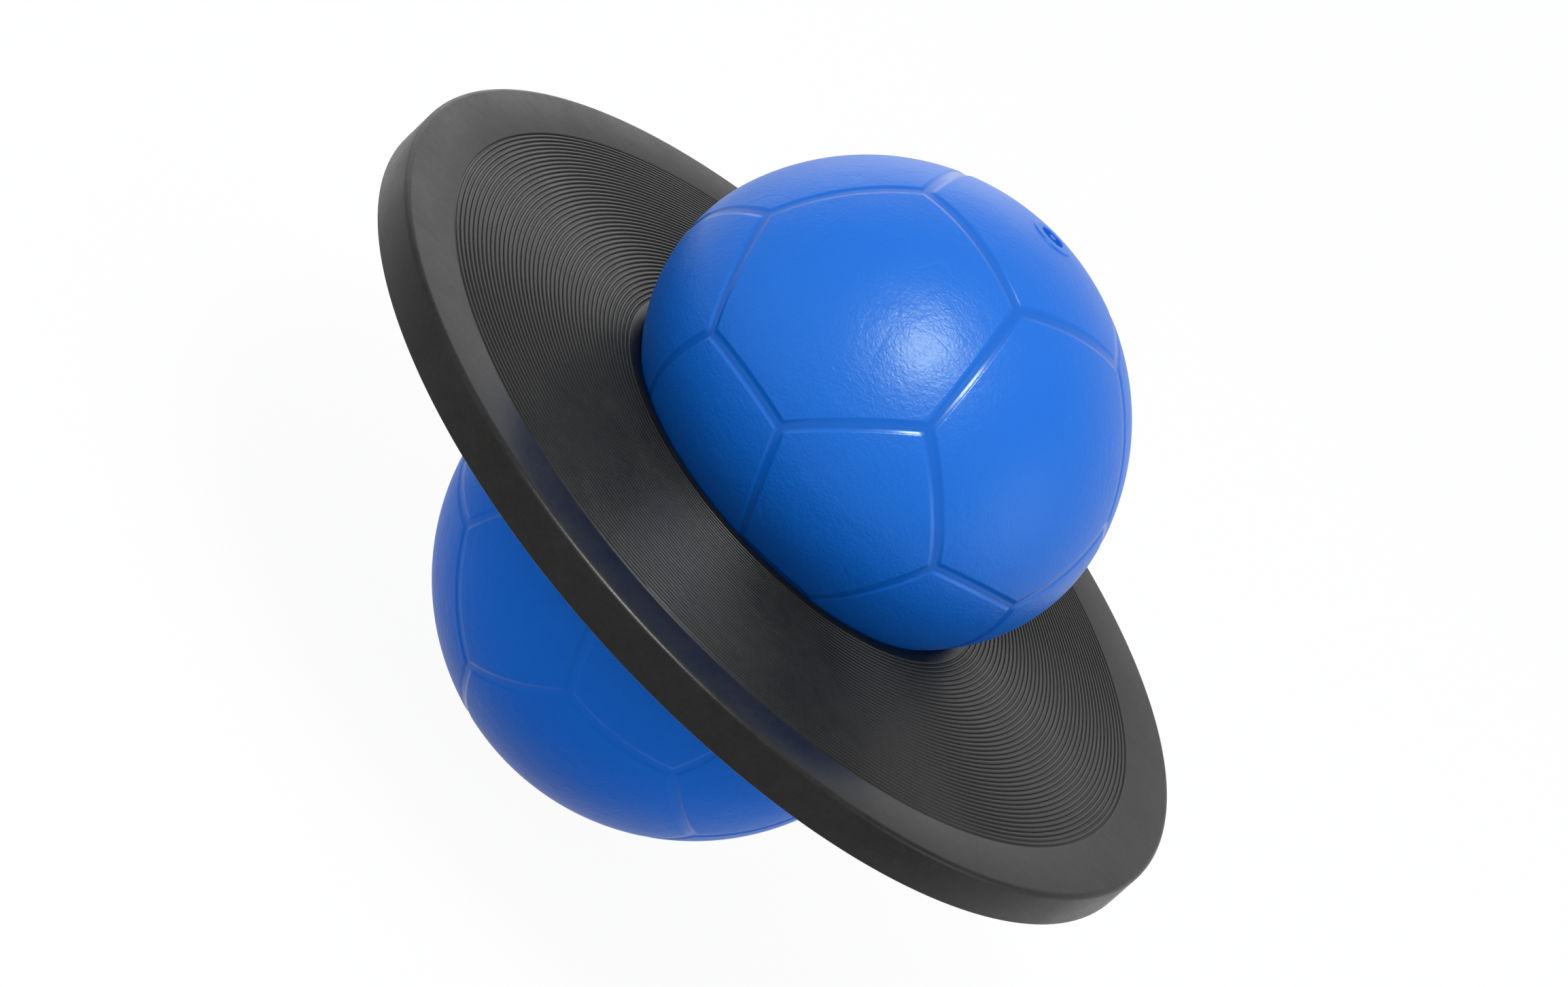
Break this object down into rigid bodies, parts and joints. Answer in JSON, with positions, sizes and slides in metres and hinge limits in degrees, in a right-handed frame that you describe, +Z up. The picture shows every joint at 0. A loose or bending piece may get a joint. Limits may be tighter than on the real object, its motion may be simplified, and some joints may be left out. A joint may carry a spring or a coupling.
{
  "type": "bouncing balance disc",
  "caption": "Round ridged platform held in the waist of an inflated two-lobed ball, for standing and bouncing on, with a push-in air valve on top.",
  "frame": {"origin": "on the floor, under the centre, where the lower lobe rests", "axes": "+Z up along the platform's axis, +Y to the back, where the valve leans"},
  "size_m": [0.3799, 0.38, 0.2849],
  "materials": {
    "platform_plastic": "black moulded plastic, fine satin grain, ridged tread",
    "ball_skin": "satin blue vinyl with a fine leather grain",
    "valve_rubber": "smooth blue vinyl"
  },
  "bodies": {
    "ball": {"upper_lobe": "ball_skin", "valve_seat": "valve_rubber"},
    "ring": {"platform": "platform_plastic"},
    "bouncer": {"lower_lobe": "ball_skin"},
    "stopper": {"valve_plug": "valve_rubber"}
  },
  "joints": [
    {"name": "platform_turn", "type": "hinge", "parent": "ball", "child": "ring", "pos_m": [0, 0, 0.14121], "axis": [0, 0, 1], "continuous": true},
    {"name": "bounce", "type": "slide", "parent": "ball", "child": "bouncer", "axis": [0, 0, 1], "range_m": [0, 0.045], "stiffness_N_per_m": 15000, "deforming": ["lower_lobe"]},
    {"name": "plug_pull", "type": "slide", "parent": "ball", "child": "stopper", "axis": [-0.0302, 0.1404, 0.9896], "range_m": [0, 0.016]}
  ]
}
